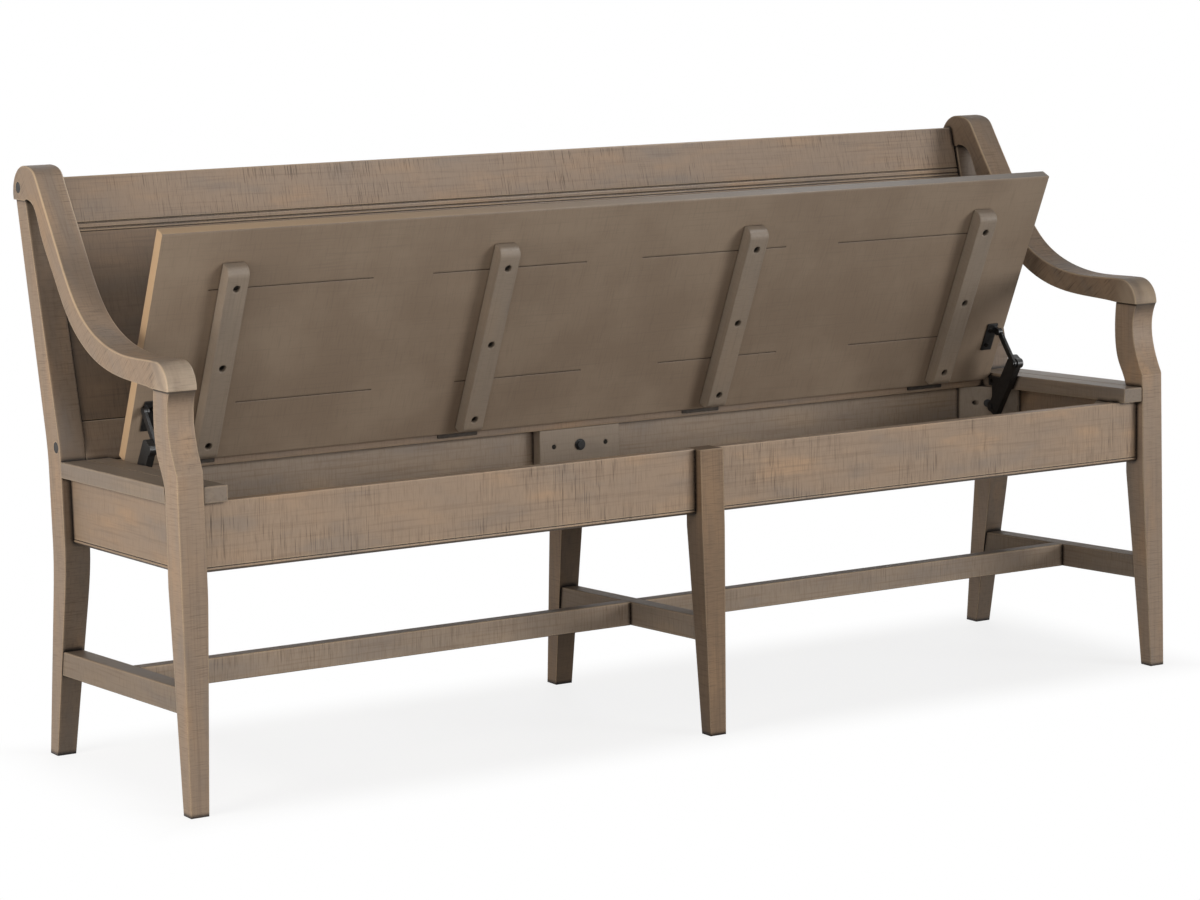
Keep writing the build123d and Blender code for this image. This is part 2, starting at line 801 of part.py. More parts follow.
with BuildPart() as cleats:
    for side in sides.values():
        start, width = span(side, post_width / 2 + 3, inner_face - 5)
        for near in (apron_back + fit, back_apron_front - fit - cleat):
            with BuildSketch(Plane.YZ.offset(start)):
                with BuildLine():
                    Polyline(
                        deck(near, floor_low - fit), deck(near + cleat, floor_low - fit),
                        deck(near + cleat, floor_low - cleat), deck(near, floor_low - cleat), close=True,
                    )
                make_face()
            extrude(amount=width)
keep(cleats.part, "floor_cleats")

# Fixed board behind the lid, notched round the ends of the seat strips

rear_front = hinge_depth + hinge_gap
rear_back = hinge_depth + rear_board_width
with BuildPart() as rear_board:
    for half, near in ((strip_inner - fit, rear_front), (inner_face - fit, strip_back + fit)):
        with BuildSketch(Plane.YZ.offset(-half)):
            with BuildLine():
                Polyline(
                    deck(near, fit), deck(rear_back, fit), deck(rear_back, seat_rise), deck(near, seat_rise),
                    close=True,
                )
            make_face()
        extrude(amount=2 * half)
    for place in hinge_places:
        barrel = lid_side(place - hinge_length / 2 - play, pitch_angle)
        cut_round(barrel, knuckle_radius + play, hinge_length + 2 * play)
        with BuildSketch(lid_side(place - hinge_length / 2 - fit, pitch_angle)):
            with Locations((hinge_gap, -leaf_height / 2)):
                Rectangle(2 * (leaf_thickness + 2 * fit - hinge_gap), leaf_height + 2 * fit)
        extrude(amount=hinge_length + 2 * fit, mode=Mode.SUBTRACT)
keep(rear_board.part, "rear_seat_board")

# Back boards

rail_high = (crest_height - rail_drop - lean_start) / cos(radians(back_lean))
rail_low = rail_high - top_rail_height
panel_low = panel_rise
rail_half = post_middle - arm_width / 2 - fit
back_half = inner_face - fit

with BuildPart() as top_rail:
    with BuildSketch(board_side(-rail_half)):
        with BuildLine():
            Polyline(
                (rail_low, 0), (rail_low, -board_thickness), (rail_high, -board_thickness), (rail_high, 0),
                close=True,
            )
        make_face()
        for step in (4.5, 13.5):
            with Locations((rail_low + step, 0)):
                Circle(groove * 0.8, mode=Mode.SUBTRACT)
    extrude(amount=2 * rail_half)
    chamfer(top_rail.faces().sort_by(Axis.Z)[-1].edges().filter_by(Axis.X), 1.5)
    for side in sides.values():
        end = spot(side * rail_half, crest_bolt_depth, crest_bolt_height, (side, 0, 0))
        cut_round(end, bolt_radius + running, -bolt_length)
keep(top_rail.part, "back_top_rail")

panel_half = inner_face - 2
with BuildPart() as panel:
    with BuildSketch(board_side(-panel_half)):
        with BuildLine():
            Polyline(
                (panel_low + seam, 0), (panel_low + seam, -board_thickness),
                (rail_low - seam, -board_thickness), (rail_low - seam, 0), close=True,
            )
        make_face()
    extrude(amount=2 * panel_half)
    chamfer(panel.edges().filter_by(Axis.X), 0.8)
keep(panel.part, "back_panel")

with BuildPart() as bottom_rail:
    with BuildSketch(board_side(-back_half)):
        with BuildLine():
            Polyline(
                (panel_low, 0), (panel_low, -board_thickness), (panel_low - 200, -board_thickness),
                (panel_low - 200, 0),
                close=True,
            )
        make_face()
    extrude(amount=2 * back_half)
    with BuildSketch(Plane.YZ.offset(-back_half)):
        with BuildLine():
            Polyline(
                deck(0, seat_rise + fit), deck(behind, seat_rise + fit), at(behind, 0), at(0, 0), close=True,
            )
        make_face()
    extrude(amount=2 * back_half, mode=Mode.SUBTRACT)
    for side in sides.values():
        end = spot(side * back_half, rear_bolt_depth, rear_bolt_height, (side, 0, 0))
        cut_round(end, bolt_radius + running, -bolt_length)
keep(bottom_rail.part, "back_bottom_rail")

# Fasteners

with BuildPart() as block_bolts:
    for direction in (1, -1):
        for side in sides.values():
            axis = corner_axis(side, direction)
            add_round(axis.offset(1), bolt_radius, -bolt_length)
            add_round(axis.offset(fit), bolt_head, 4)
        axis = tie_spots(direction)[0]
        add_round(axis.offset(-1), bolt_radius, tie_bolt_length)
        add_round(axis.offset(-fit), washer_radius, -washer)
        add_round(axis.offset(-fit), bolt_head, -4 - washer)
keep(block_bolts.part, "block_bolts")

with BuildPart() as block_screws:
    for direction in (1, -1):
        seats = tie_spots(direction)[1]
        for side in sides.values():
            seats = seats + corner_screws(side, direction)
        for seat in seats:
            add_round(seat.offset(-1), screw_radius, screw_length)
            add_round(seat.offset(-fit), screw_head, -3)
keep(block_screws.part, "block_screws")

rail_spots = [
    spot(side * outer, depth, height, (side, 0, 0))
    for side in sides.values()
    for outer, depth, height in (
        (half_span, rear_bolt_depth, rear_bolt_height),
        (post_middle + arm_width / 2, crest_bolt_depth, crest_bolt_height),
    )
]
with BuildPart() as rail_bolts:
    for place in rail_spots:
        add_round(place.offset(1 - cap_well), bolt_radius, -bolt_length)
        add_round(place.offset(fit - cap_well), bolt_head - 0.5, 4)
keep(rail_bolts.part, "back_rail_bolts")

with BuildPart() as caps:
    for place in rail_spots:
        add_round(place, cap_radius, -cap_thickness)
keep(caps.part, "bolt_caps")

with BuildPart() as dowels:
    for side in sides.values():
        for depth, height in dowel_spots:
            top = spot(side * post_middle, depth, height + dowel_rise, (0, 0, -1))
            add_round(top, dowel_radius, dowel_length)
keep(dowels.part, "arm_dowels")

# Lid, drawn open on its own plane

underside = lid_plane(lid_angle, -lid_thickness)
front_edge = -lid_width
kerf_rows = ((105, 292, -22), (317, 246, 39))  # from the front edge, length, shift along the lid
with BuildPart() as lid:
    with BuildSketch(underside):
        with Locations((0, (front_edge - hinge_gap) / 2)):
            Rectangle(2 * lid_half, lid_width - hinge_gap)
    extrude(amount=lid_thickness)
    chamfer(lid.edges().filter_by(lambda e: 15 < e.length < 30).sort_by(Axis.Z)[:2], lid_corner)
    chamfer(lid.edges().filter_by(Axis.X), 1.2)
    with BuildSketch(underside):
        for reach, length, shift in kerf_rows:
            with Locations(*[(place * kerf_share + shift, front_edge + reach) for place in batten_places]):
                Rectangle(length, kerf)
    extrude(amount=1.5, mode=Mode.SUBTRACT)
    with BuildSketch(underside):
        with Locations(*batten_screw_places, *bracket_screw_places):
            Circle(screw_radius + running)
    extrude(amount=13, mode=Mode.SUBTRACT)
    for place in hinge_places:
        barrel = lid_side(place - hinge_length / 2 - play, lid_angle)
        cut_round(barrel, knuckle_radius + play, hinge_length + 2 * play)
        with BuildSketch(lid_side(place - hinge_length / 2 - fit, lid_angle)):
            with Locations((-hinge_gap, -leaf_height / 2)):
                Rectangle(2 * (leaf_thickness + 2 * fit - hinge_gap), leaf_height + 2 * fit)
        extrude(amount=hinge_length + 2 * fit, mode=Mode.SUBTRACT)
keep(lid.part, "lid_panel")

batten_front = front_edge + batten_start
for index, place in enumerate(batten_places):
    with BuildPart() as batten:
        with BuildSketch(lid_side(place - batten_width / 2, lid_angle)):
            with Locations((batten_front + batten_length / 2, -lid_thickness - fit - batten_thickness / 2)):
                Rectangle(batten_length, batten_thickness)
        extrude(amount=batten_width)
        cross_edges = batten.edges().filter_by(Axis.X)
        lowest = cross_edges.sort_by(lambda e: lid_plane(lid_angle).to_local_coords(e.center()).Z)[:2]
        fillet(lowest, batten_thickness * 0.6)
        with BuildSketch(lid_plane(lid_angle, -lid_thickness - batten_thickness - 1)):
            with Locations(*[spot_xy for spot_xy in batten_screw_places if abs(spot_xy[0] - place) < 1]):
                Circle(batten_well)
        extrude(amount=9, mode=Mode.SUBTRACT)
        with BuildSketch(underside):
            with Locations(*[spot_xy for spot_xy in batten_screw_places if abs(spot_xy[0] - place) < 1]):
                Circle(screw_radius + running)
        extrude(amount=-batten_thickness, mode=Mode.SUBTRACT)
    keep(batten.part, f"lid_batten_{index + 1}")

with BuildPart() as batten_screws:
    for x, y in batten_screw_places:
        seat = Plane(underside.location * Location((x, y, 8 - batten_thickness)))
        add_round(seat.offset(-1), screw_radius, batten_thickness + 3)
        add_round(seat.offset(-fit), screw_head, -3)
keep(batten_screws.part, "batten_screws")

# Butt hinges: five knuckles, the outer and middle ones on the fixed leaf

knuckle = hinge_length / 5


def leaf_set(angle, facing, turns, others):
    # Leaves on one side of the axis with the barrels of their own turns
    for place in hinge_places:
        origin = place - hinge_length / 2
        with BuildSketch(lid_side(origin, angle)) as leaf:
            with Locations((facing * (fit + leaf_thickness / 2), -leaf_height / 2)):
                Rectangle(leaf_thickness, leaf_height)
        extrude(leaf.sketch, amount=hinge_length)
        for turn in others:
            cut_round(lid_side(origin + turn * knuckle - fit, angle), knuckle_radius + play, knuckle + 2 * fit)
        for turn in turns:
            add_round(lid_side(origin + turn * knuckle + fit / 2, angle), knuckle_radius, knuckle - fit)
        for turn in range(5):
            cut_round(lid_side(origin + turn * knuckle - fit, angle), pin_radius + running, knuckle + 2 * fit)


with BuildPart() as fixed_leaves:
    leaf_set(pitch_angle, 1, (0, 2, 4), (1, 3))
keep(fixed_leaves.part, "hinge_leaves_fixed")

with BuildPart() as lid_leaves:
    leaf_set(lid_angle, -1, (1, 3), (0, 2, 4))
keep(lid_leaves.part, "hinge_leaves_lid")

with BuildPart() as pins:
    for place in hinge_places:
        add_round(lid_side(place - hinge_length / 2, pitch_angle), pin_radius, hinge_length)
keep(pins.part, "hinge_pins")

# Folding lid stays

for name, side in sides.items():

    def layer(near, far):
        # Side view plane and depth of a slice between two distances from the bench's centre
        return Plane.YZ.offset(side * near), side * (far - near)

    with BuildPart() as base:
        plane, depth = layer(plate_in, plate_in + plate)
        with BuildSketch(plane):
            with BuildLine():
                stay_plate_head(0)
            make_face()
            with Locations(at(foot_pivot[0], (foot_pivot[1] + stay_head_low) / 2)):
                Rectangle(22, stay_head_low - foot_pivot[1] + 1)
            with Locations(at(*foot_pivot)):
                Circle(11)
        extrude(amount=depth)
        for place in stay_screw_spots:
            with BuildSketch(plane):
                with Locations(place):
                    Circle(screw_radius + fit)
            extrude(amount=depth, mode=Mode.SUBTRACT)
            with BuildSketch(plane):
                with Locations(place):
                    Circle(screw_head + fit)
            extrude(amount=depth * 0.8, mode=Mode.SUBTRACT)
        plane, depth = layer(plate_in, arm_in - play)
        with BuildSketch(plane):
            with Locations(at(*foot_pivot)):
                Circle(pivot_radius)
        extrude(amount=depth)
        plane, depth = layer(arm_in - play, arm_in - play - 2)
        with BuildSketch(plane):
            with Locations(at(*foot_pivot)):
                Circle(pivot_radius + 2)
        extrude(amount=depth)
    keep(base.part, f"stay_base_{name}")

    with BuildPart() as stay_arm:
        plane, depth = layer(arm_in, arm_out)
        middle = at((foot_pivot[0] + knee_pivot[0]) / 2, (foot_pivot[1] + knee_pivot[1]) / 2)
        with BuildSketch(plane):
            with Locations(Location((middle[0], middle[1], 0), (0, 0, 180 - stay_angle))):
                RectangleRounded(stay_along + 18, stay_width, 8)
            with Locations(at(*foot_pivot), at(*knee_pivot)):
                Circle(pivot_radius + 6)
        extrude(amount=depth)
        with BuildSketch(plane):
            with Locations(at(*foot_pivot)):
                Circle(pivot_radius + running)
        extrude(amount=depth, mode=Mode.SUBTRACT)
        plane, depth = layer(arm_in, link_in - play)
        with BuildSketch(plane):
            with Locations(at(*knee_pivot)):
                Circle(pivot_radius)
        extrude(amount=depth)
        plane, depth = layer(link_in - play, link_in - play - 2)
        with BuildSketch(plane):
            with Locations(at(*knee_pivot)):
                Circle(pivot_radius + 2)
        extrude(amount=depth)
    keep(stay_arm.part, f"stay_arm_{name}")

    with BuildPart() as link:
        plane, depth = layer(link_in, link_out)
        with BuildSketch(plane):
            with BuildLine():
                Line(at(*knee_pivot), at(*lid_pivot))
            trace(line_width=eye_radius * 1.6)
            with Locations(at(*knee_pivot), at(*lid_pivot)):
                Circle(eye_radius)
            with Locations(at(*knee_pivot)):
                Circle(pivot_radius + running, mode=Mode.SUBTRACT)
            with Locations(at(*lid_pivot)):
                Circle(pivot_radius + play, mode=Mode.SUBTRACT)
        extrude(amount=depth)
    keep(link.part, f"stay_link_{name}")

    with BuildPart() as bracket:
        with BuildSketch(lid_plane(lid_angle, -lid_thickness - fit)):
            with Locations((side * (ear_out - 11), -stay_along + 14)):
                Rectangle(22, 54)
        extrude(amount=-plate)
        with BuildSketch(lid_side(side * ear_in, lid_angle)):
            with Locations((-stay_along, -lid_below)):
                Circle(eye_radius)
            with Locations((-stay_along, -lid_thickness - fit - stay_below / 2)):
                Rectangle(2 * eye_radius, stay_below)
        extrude(amount=side * (ear_out - ear_in))
        with BuildSketch(lid_side(side * ear_out, lid_angle)):
            with Locations((-stay_along, -lid_below)):
                Circle(pivot_radius)
        extrude(amount=side * (link_thickness + play + fit))
        for x, y in bracket_screw_places:
            if x * side > 0:
                cut_round(Plane(underside.location * Location((x, y, 0))), screw_radius + fit, -plate - 1)
    keep(bracket.part, f"stay_bracket_{name}")

with BuildPart() as base_screws:
    for side in sides.values():
        for y, z in stay_screw_spots:
            seat = Plane(origin=(side * (plate_in + plate * 0.8 - fit / 2), y, z), z_dir=(side, 0, 0))
            add_round(seat, screw_radius, screw_length - 6)
            add_round(seat, screw_head, -plate * 0.6)
keep(base_screws.part, "stay_base_screws")

with BuildPart() as bracket_screws:
    for x, y in bracket_screw_places:
        seat = Plane(underside.location * Location((x, y, -plate - fit)))
        add_round(seat.offset(-1), screw_radius, plate + 12)
        add_round(seat.offset(-fit), screw_head, -2)
keep(bracket_screws.part, "stay_bracket_screws")
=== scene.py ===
# Storage bench with back: finishes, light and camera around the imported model. Metres, Z up.
import json
from math import cos, radians, sin
import bpy
import numpy as np
from mathutils import Matrix, Vector


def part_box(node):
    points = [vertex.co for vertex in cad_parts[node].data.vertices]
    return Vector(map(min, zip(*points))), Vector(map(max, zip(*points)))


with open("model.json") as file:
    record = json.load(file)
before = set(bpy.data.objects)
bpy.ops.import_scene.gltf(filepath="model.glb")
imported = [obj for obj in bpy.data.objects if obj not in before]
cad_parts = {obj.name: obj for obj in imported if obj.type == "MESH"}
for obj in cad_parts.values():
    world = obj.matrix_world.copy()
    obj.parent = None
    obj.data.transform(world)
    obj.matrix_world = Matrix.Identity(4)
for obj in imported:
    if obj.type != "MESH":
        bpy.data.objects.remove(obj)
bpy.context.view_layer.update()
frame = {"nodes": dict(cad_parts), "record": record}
nodes = frame["nodes"]
scene = bpy.context.scene
scene.view_settings.view_transform = "Standard"
print("frame loaded, nodes:", len(nodes))


def stain(red, green, blue):
    # paint-chart numbers 0-255 to the linear colour that a shader takes
    parts = np.array((red, green, blue)) / 255
    linear = np.where(parts <= 0.04045, parts / 12.92, ((parts + 0.055) / 1.055) ** 2.4)
    return (*linear.tolist(), 1.0)


class Tone:
    # wraps one output socket, so that sums on values add their Math nodes
    def __init__(self, tree, socket=None):
        self.tree = tree
        self.socket = socket

    def node(self, kind, settings=None, sockets=None, out=0):
        made = self.tree.nodes.new(kind)
        for key, value in (settings or {}).items():
            setattr(made, key, value)
        for key, value in (sockets or {}).items():
            if isinstance(value, Tone):
                self.tree.links.new(value.socket, made.inputs[key])
            else:
                made.inputs[key].default_value = value
        return Tone(self.tree, made.outputs[out] if len(made.outputs) else None)

    def math(self, operation, first, second=0.0):
        return self.node("ShaderNodeMath", {"operation": operation}, {0: first, 1: second})

    def __add__(self, other):
        return self.math("ADD", self, other)

    def __radd__(self, other):
        return self.math("ADD", other, self)

    def __sub__(self, other):
        return self.math("SUBTRACT", self, other)

    def __rsub__(self, other):
        return self.math("SUBTRACT", other, self)

    def __mul__(self, other):
        return self.math("MULTIPLY", self, other)

    def __rmul__(self, other):
        return self.math("MULTIPLY", other, self)

    def __abs__(self):
        return self.math("ABSOLUTE", self)

    def atLeast(self, other):
        return self.math("MAXIMUM", self, other)

    def dot(self, direction):
        sockets = {0: self, 1: direction}
        return self.node("ShaderNodeVectorMath", {"operation": "DOT_PRODUCT"}, sockets, out="Value")

    def scaled(self, share):
        return self.node("ShaderNodeVectorMath", {"operation": "SCALE"}, {0: self, "Scale": share})

    def vector(self, x, y, z):
        return self.node("ShaderNodeCombineXYZ", None, {0: x, 1: y, 2: z})

    def noise(self, place, scale=1.0, detail=2.0, roughness=0.5):
        sockets = {"Vector": place, "Scale": scale, "Detail": detail, "Roughness": roughness}
        return self.node("ShaderNodeTexNoise", {"noise_dimensions": "3D"}, sockets)

    def ease(self, low, high):
        # 0 at low, 1 at high, smooth between
        sockets = {"Value": self, "From Min": low, "From Max": high}
        return self.node("ShaderNodeMapRange", {"interpolation_type": "SMOOTHSTEP"}, sockets)

    def mix(self, share, first, second):
        sockets = {"Factor": share, 6: first, 7: second}
        return self.node("ShaderNodeMix", {"data_type": "RGBA"}, sockets, out=2)

    def place(self):
        return self.node("ShaderNodeTexCoord", None, None, out="Object")


def newMaterial(name):
    material = bpy.data.materials.new(name)
    material.use_nodes = True
    material.node_tree.nodes.clear()
    return material, Tone(material.node_tree)


def finishShader(tone, sockets):
    shader = tone.node("ShaderNodeBsdfPrincipled", None, sockets)
    tone.node("ShaderNodeOutputMaterial", None, {"Surface": shader})


def dress(node, material):
    mesh = nodes[node].data
    mesh.materials.clear()
    mesh.materials.append(material)


across, backward, upward = (1, 0, 0), (0, 1, 0), (0, 0, 1)
forward, downward = (0, -1, 0), (0, 0, -1)
woodLook = {
    "base": stain(149, 128, 108),      # taupe stain
    "warm": stain(168, 138, 109),      # where the stain is rubbed thin
    "cool": stain(133, 119, 106),      # grey glaze
    "grain": stain(120, 101, 84),
    "tick": stain(66, 52, 41),         # glaze left in the saw marks
    "worn": stain(206, 180, 149),      # bare edges, and the painted highlight on rolled edges
    "rubbed": stain(196, 177, 154),    # where hands rest, and the painted highlight on the arms' noses
    "shadeAndGlazeColour": stain(38, 30, 24),        # glaze left in the joints, and the colour of the painted shade
    "wornAmount": 0.75,
    "rubbedAmount": 0.55,
    "edge": 0.0042,                    # radius over which edges look worn and soft
    "joint": 0.009,                    # reach of the glaze and painted shade out of a joint
    "shadeAndGlaze": (0.07, 0.34, 1.0),        # how closed in a spot is where the glaze and painted shade start and fill, and its amount
    "below": 0.85,                     # painted shade on the undersides
    "foot": (0.006, 0.002, 0.6),       # heights where dirt and a painted contact shadow round the feet start and fill, and its amount
    "seam": (0.001, 0.85),             # how soft a glazed seam is, and its amount
    "fade": (0.3, 0.5),                # heights between which the stain, with its painted light and shade, changes from low to high
    "sheen": 0.4,                      # roughness of the satin lacquer
    "sheenVaries": 0.14,
    "gloss": 0.24,
    "relief": (0.4, 0.0005),           # strength and depth of the bump
}
plainLook = dict(
    woodLook, base=stain(135, 122, 108), warm=stain(141, 125, 108), cool=stain(127, 116, 104),
    grain=stain(118, 105, 92), tick=stain(105, 93, 81), worn=stain(160, 146, 130), wornAmount=0.4,
    shadeAndGlaze=(0.4, 0.75, 0.7), below=0.0,
)
# noise cells per metre along and across the grain, detail and roughness of the noise
cells = {
    "patches": (7, 22, 3.0, 0.5), "streaks": (7, 260, 4.0, 0.6), "linen": (620, 45, 2.0, 0.5),
    "sawn": (760, 20, 1.0, 0.5), "bunches": (8, 9, 2.0, 0.5),
}
boardStep = 3.7                        # metres of noise between boards, so that no two are alike
# noise and colour of each coat, where it starts and fills on the noise, and its amount
coats = [
    ("patches", "warm", 0.5, 0.75, 0.8), ("patches", "cool", 0.48, 0.3, 0.7),
    ("streaks", "grain", 0.48, 0.72, 0.45), ("linen", "grain", 0.48, 0.7, 0.35),
]
# where dark and pale saw marks and their bunches start and fill on the noise
sawMarks = {
    "dark": (0.59, 0.68), "darkBunches": (0.3, 0.68),
    "pale": (0.4, 0.28), "paleBunches": (0.38, 0.58), "paleAmount": 0.2,
    "streakRelief": 0.3, "linenRelief": 0.2,
}
wear = {
    "turned": (0.012, 0.14),           # turn of the softened normal that counts as an edge
    "patchy": (0.15, 0.45),            # edges stay stained where the patches are low
    "open": (0.35, 0.1),               # and where they are closed in
    "rollStarts": (0.12, 0.4),         # cosines between which a rounding starts, and ends
    "rollEnds": (0.985, 0.85),
    "hands": (0.2, 0.6),               # rubbed ends stay stained where the patches are low
    "underneath": (0.1, 0.55),         # cosines between which a face counts as an underside
    "onTop": (0.6, 0.9),               # an upper face
    "inFront": (0.5, 0.8),             # a front face
}


def axesAlong(grain):
    # grain direction and two directions square to it
    first = Vector(grain).normalized()
    helper = Vector(across) if abs(first.x) < 0.7 else Vector(upward)
    second = first.cross(helper).normalized()
    return first, second, first.cross(second)


def woodTones(tone, grain, look, seed, ticks):
    # colour, patches and bump height of a stained board, read along its grain
    place = tone.place()
    lengthwards, sideways, through = (place.dot(axis) for axis in axesAlong(grain))
    lengthwards = lengthwards + seed * boardStep

    def grown(kind):
        runs, spreads, detail, roughness = cells[kind]
        stretched = tone.vector(lengthwards * runs, sideways * spreads, through * spreads)
        return tone.noise(stretched, 1.0, detail, roughness)

    noises = {kind: grown(kind) for kind in cells}
    colour = look["base"]
    for kind, tint, start, full, amount in coats:
        colour = tone.mix(noises[kind].ease(start, full) * amount, colour, look[tint])
    marks = noises["sawn"].ease(*sawMarks["dark"]) * noises["bunches"].ease(*sawMarks["darkBunches"])
    colour = tone.mix(marks * ticks, colour, look["tick"])
    pale = noises["sawn"].ease(*sawMarks["pale"]) * noises["bunches"].ease(*sawMarks["paleBunches"])
    colour = tone.mix(pale * (ticks * sawMarks["paleAmount"]), colour, look["worn"])
    height = noises["streaks"] * sawMarks["streakRelief"] + noises["linen"] * sawMarks["linenRelief"]
    return place, colour, noises["patches"], height - marks * ticks


def closedIn(tone, look):
    # 1 deep in a joint or groove, 0 in the open
    return 1 - tone.node("ShaderNodeAmbientOcclusion", {"samples": 6}, {"Distance": look["joint"]}, out="AO")


def facing(tone, direction):
    # cosine between the surface and a direction of the bench
    return tone.node("ShaderNodeTexCoord", None, None, out="Normal").dot(direction)


def softened(tone, radius):
    # normal that turns smoothly round the edges
    return tone.node("ShaderNodeBevel", {"samples": 4}, {"Radius": radius})


def bumped(tone, height, soft, relief):
    strength, distance = relief
    sockets = {"Strength": strength, "Distance": distance, "Height": height, "Normal": soft}
    return tone.node("ShaderNodeBump", None, sockets)


def wornEdges(tone, colour, look, patches, closed, rolledWearAndHighlight=0.0):
    # bare wood on the arrises, from how far a softened normal leaves the true one, and on rolled edges, where
    # it is both wear and a painted highlight
    soft = softened(tone, look["edge"])
    flat = tone.node("ShaderNodeNewGeometry", None, None, out="Normal")
    turned = 1 - soft.dot(flat)
    worn = turned.ease(*wear["turned"]).atLeast(rolledWearAndHighlight)
    worn = worn * patches.ease(*wear["patchy"]) * closed.ease(*wear["open"])
    return tone.mix(worn * look["wornAmount"], colour, look["worn"]), soft


def rolledOver(tone, direction):
    # 1 on the rounding between a board's face and the sides that look along a direction
    turned = abs(facing(tone, direction))
    return turned.ease(*wear["rollStarts"]) * turned.ease(*wear["rollEnds"])


def paintedShadeAndGlaze(tone, board, look, closed, aboveFloor, top):
    # glaze and painted shade: darker in the closed-in joints and grooves, painted shade underneath,
    # dirt and a painted contact shadow round the feet, painted shade on upper faces where a board has it,
    # and glaze at its seam
    start, full, amount = look["shadeAndGlaze"]
    shadeAndGlaze = closed.ease(start, full) * amount
    # painted shade on the faces that look down
    shadeAndGlaze = shadeAndGlaze.atLeast(facing(tone, downward).ease(*wear["underneath"]) * look["below"])
    # dirt and a painted contact shadow along the bottom of the feet
    start, full, amount = look["foot"]
    shadeAndGlaze = shadeAndGlaze.atLeast(aboveFloor.ease(start, full) * amount)
    # painted shade on the upper faces of boards that lie under the box or in shade
    if "above" in board:
        shadeAndGlaze = shadeAndGlaze.atLeast(facing(tone, upward).ease(*wear["onTop"]) * board["above"])
    if "seam" in board:
        joint = top - board["seam"]
        softness, amount = look["seam"]
        shadeAndGlaze = shadeAndGlaze.atLeast(aboveFloor.ease(joint - softness, joint) * amount)
    return shadeAndGlaze


def stainedWood(node, board, look, seed):
    # one board's own finish: stain, worn edges with a painted highlight on rolled ones, rubbed end, glaze
    # and painted shade, then the depth of the stain with painted light and shade
    material, tone = newMaterial("wood_" + node)
    place, colour, patches, height = woodTones(tone, board["grain"], look, seed, board["ticks"])
    aboveFloor = place.dot(upward)
    lowest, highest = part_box(node)
    closed = closedIn(tone, look)
    # rolled sides paler: wear and a painted highlight
    rolledWearAndHighlight = rolledOver(tone, board["rolledWearAndHighlight"]) if "rolledWearAndHighlight" in board else 0.0
    colour, soft = wornEdges(tone, colour, look, patches, closed, rolledWearAndHighlight)
    # the arm's nose paler towards its front: hand wear and a painted highlight
    if "handRubAndHighlight" in board:
        nose, reach = lowest[1], board["handRubAndHighlight"]
        rubbed = place.dot(backward).ease(nose + reach, nose + reach / 3) * patches.ease(*wear["hands"])
        colour = tone.mix(rubbed * look["rubbedAmount"], colour, look["rubbed"])
    # glaze and painted shade in the joints, underneath, round the feet and on upper faces
    colour = tone.mix(paintedShadeAndGlaze(tone, board, look, closed, aboveFloor, highest[2]), colour, look["shadeAndGlazeColour"])
    rise = aboveFloor.ease(*board.get("fade", look["fade"]))

    def stainAndLightOn(faces):
        low, high = np.broadcast_to(board[faces], 2).tolist()
        return low + rise * (high - low)

    # stain depth per board, partly its own stain and partly painted light and shade by height and on front
    # faces
    shade = stainAndLightOn("stainAndLight")
    if "front" in board:
        inFront = facing(tone, forward).ease(*wear["inFront"])
        shade = shade * (1 - inFront) + stainAndLightOn("front") * inFront
    finishShader(tone, {
        "Base Color": colour.scaled(shade), "Roughness": look["sheen"] + patches * look["sheenVaries"],
        "Specular IOR Level": board.get("gloss", look["gloss"]),
        "Normal": bumped(tone, height, soft, look["relief"]),
    })
    return material


